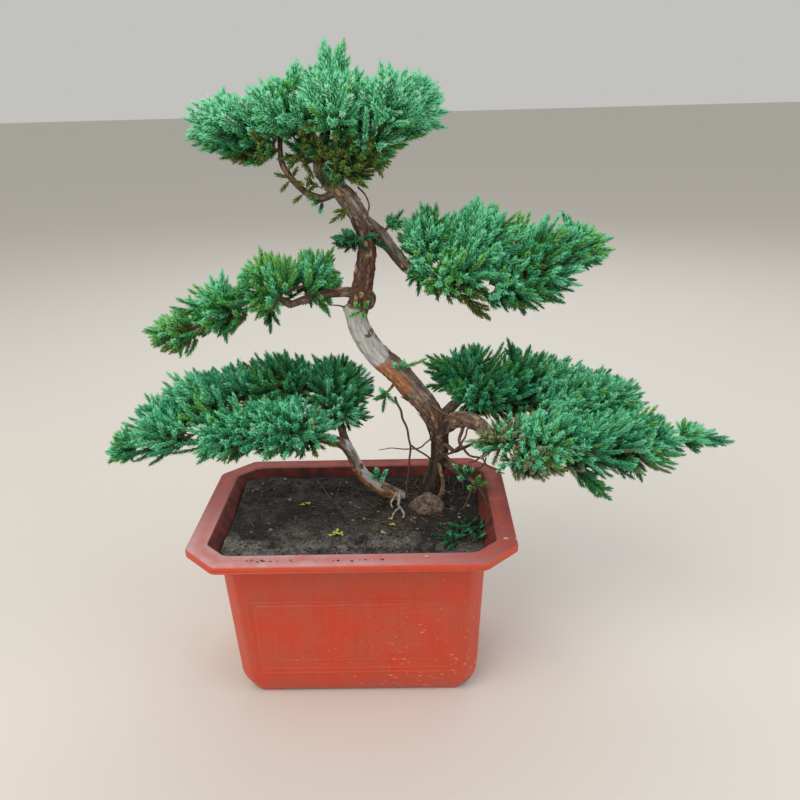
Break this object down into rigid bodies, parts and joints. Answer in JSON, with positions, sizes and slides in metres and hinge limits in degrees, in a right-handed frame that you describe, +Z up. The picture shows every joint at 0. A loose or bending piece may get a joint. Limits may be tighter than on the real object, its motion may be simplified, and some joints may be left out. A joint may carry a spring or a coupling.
{
  "type": "potted juniper bonsai",
  "caption": "Juniper bonsai with a leaning S-shaped trunk and flat needle pads, rooted in soil in an eight-sided red plastic pot with a broad lip.",
  "frame": {"origin": "centre of the pot's flat underside, on the surface it stands on", "axes": "+Z up, +X along the pot's long side to the right in the picture, +Y away from the viewer"},
  "size_m": [0.5189, 0.208, 0.5141],
  "materials": {
    "pot_plastic": "moulded red plastic, satin, dusty on the lip",
    "soil": "damp potting soil, matte and crumbly",
    "bark": "flaking grey-brown juniper bark, matte",
    "foliage": "juniper needles, blue-green with paler tips, satin"
  },
  "bodies": {
    "root": {"pot": "pot_plastic", "soil": "soil", "root_crown": "bark", "trunk": "bark", "bough_right_middle": "bark", "bough_left_middle": "bark", "bough_lower_left": "bark", "bough_lower_left_back": "bark", "bough_lower_right": "bark", "bough_lower_right_back": "bark", "bough_crown_left": "bark", "bough_crown_right": "bark", "dead_stub": "bark", "aerial_root": "bark", "foliage_crown_top": "foliage", "foliage_crown_left": "foliage", "foliage_crown_right": "foliage", "foliage_under_crown": "foliage", "foliage_right_middle": "foliage", "foliage_left_middle": "foliage", "foliage_lower_left": "foliage", "foliage_lower_left_back": "foliage", "foliage_lower_right": "foliage", "foliage_lower_right_back": "foliage", "foliage_fork_tuft": "foliage", "foliage_fork_sprig": "foliage", "foliage_trunk_sprig": "foliage"}
  },
  "joints": []
}
